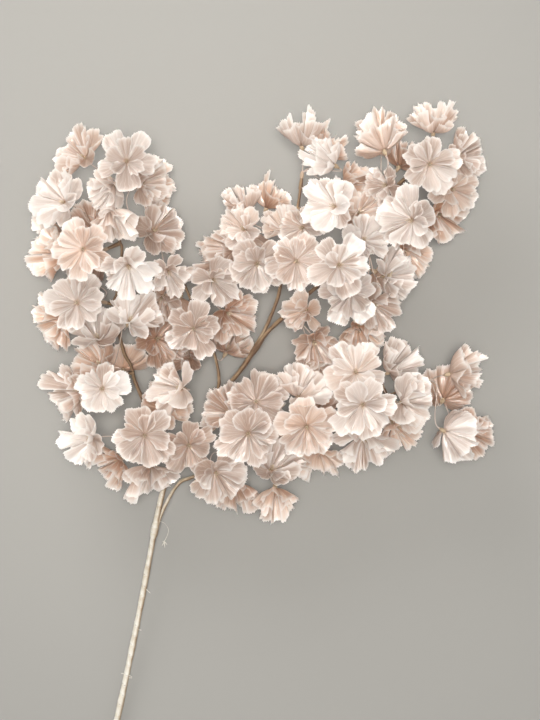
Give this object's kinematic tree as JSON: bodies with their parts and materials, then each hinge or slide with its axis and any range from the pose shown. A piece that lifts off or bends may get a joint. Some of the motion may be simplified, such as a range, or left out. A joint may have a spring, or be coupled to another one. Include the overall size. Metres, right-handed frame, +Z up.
{
  "type": "apple blossom branch",
  "caption": "Artificial apple blossom branch: a forked, tape-wrapped wire stem with bunches of blush fabric blooms on threads, lying on a table.",
  "frame": {"origin": "on the table, under the middle of the branch's bounding box", "axes": "+Z up from the table, +Y along the branch from the cut end of the stem towards the blooms, +X to the right as seen from above"},
  "size_m": [0.3918, 0.5896, 0.1447],
  "materials": {
    "wrapped_stem": "crepe paper tape wound round wire, brown on the twigs and pale cream on the lower stem",
    "petal_fabric": "thin pleated fabric, blush white with peach folds and pinked edges",
    "thread": "thin pale pink waxed thread with a small tan calyx",
    "bloom_centre": "small pale tan tuft in the throat of a bloom"
  },
  "bodies": {
    "root": {"main_stem": "wrapped_stem", "twig_top": "wrapped_stem", "twig_middle": "wrapped_stem", "twig_left": "wrapped_stem", "twig_right": "wrapped_stem", "bunch_left_top": "petal_fabric", "bunch_left_shoulder": "petal_fabric", "bunch_left_back": "petal_fabric", "bunch_left_upper": "petal_fabric", "bunch_left_mid": "petal_fabric", "bunch_left_waist": "petal_fabric", "bunch_left_low": "petal_fabric", "bunch_left_inner": "petal_fabric", "bunch_left_foot": "petal_fabric", "bunch_foot": "petal_fabric", "bunch_middle_low": "petal_fabric", "bunch_middle_mid": "petal_fabric", "bunch_middle_back": "petal_fabric", "bunch_middle_top": "petal_fabric", "bunch_top_end": "petal_fabric", "bunch_top_right": "petal_fabric", "bunch_top_left": "petal_fabric", "bunch_top_low": "petal_fabric", "bunch_fork": "petal_fabric", "bunch_right_low": "petal_fabric", "bunch_right_mid": "petal_fabric", "bunch_right_back": "petal_fabric", "bunch_right_high": "petal_fabric", "bunch_right_end": "petal_fabric", "bunch_right_under": "petal_fabric", "bunch_right_front": "petal_fabric", "bunch_lower_first": "petal_fabric", "bunch_lower_second": "petal_fabric", "bunch_lower_third": "petal_fabric", "bunch_lower_fourth": "petal_fabric", "bunch_lower_fifth": "petal_fabric", "bunch_lower_sixth": "petal_fabric", "bunch_lower_end": "petal_fabric"}
  },
  "joints": []
}
